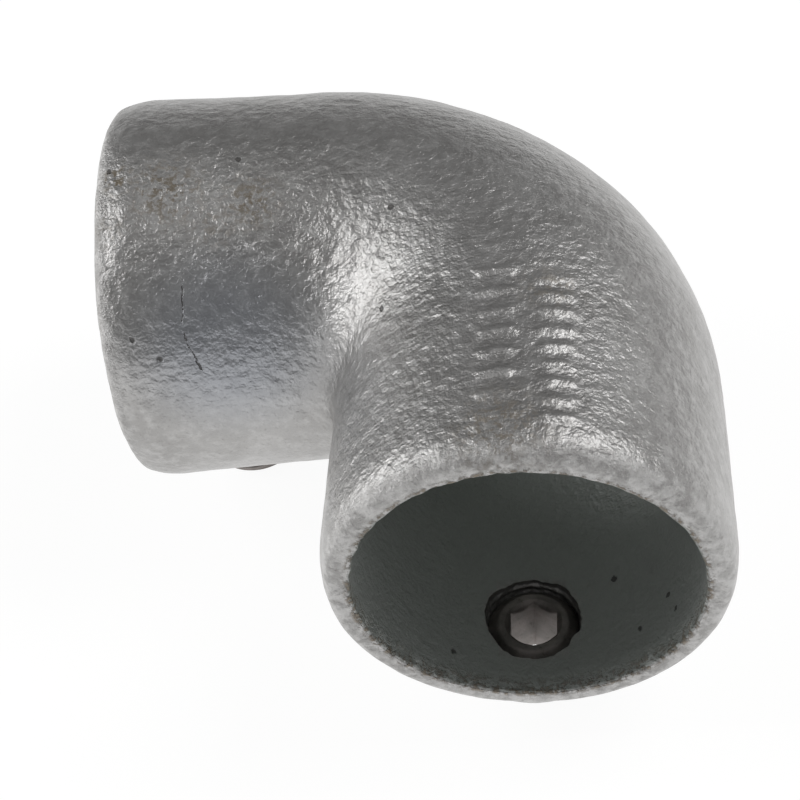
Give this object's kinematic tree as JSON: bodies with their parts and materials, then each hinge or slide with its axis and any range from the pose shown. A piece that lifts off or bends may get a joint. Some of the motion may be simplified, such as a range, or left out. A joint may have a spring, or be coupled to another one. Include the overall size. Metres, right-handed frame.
{
  "type": "90 degree elbow tube clamp fitting",
  "caption": "Cast 90 degree elbow that joins the ends of round tubes in two plain sockets, each locked by a set screw.",
  "frame": {"origin": "centre of the front socket's mouth, on that socket's axis", "axes": "-Y points out of the front socket's mouth, -X points out of the left socket's mouth, +Z is square to both and away from the set screws"},
  "size_m": [0.0806, 0.0817, 0.0585],
  "materials": {
    "galvanised_casting": "hot-dip galvanised malleable iron casting, mid grey, orange-peel grain with a dull sheen and a few stains",
    "set_screw_steel": "case-hardened steel, dark brownish grey, turned and broached"
  },
  "bodies": {
    "fitting": {"elbow_casting": "galvanised_casting"},
    "front_screw": {"front_set_screw": "set_screw_steel"},
    "left_screw": {"left_set_screw": "set_screw_steel"}
  },
  "joints": [
    {"name": "front_screw_travel", "type": "slide", "parent": "fitting", "child": "front_screw", "axis": [0.0698, 0, 0.9976], "range_m": [-0.0021, 0.0058]},
    {"name": "left_screw_travel", "type": "slide", "parent": "fitting", "child": "left_screw", "axis": [0, 0.0698, 0.9976], "range_m": [-0.0024, 0.0056]}
  ]
}
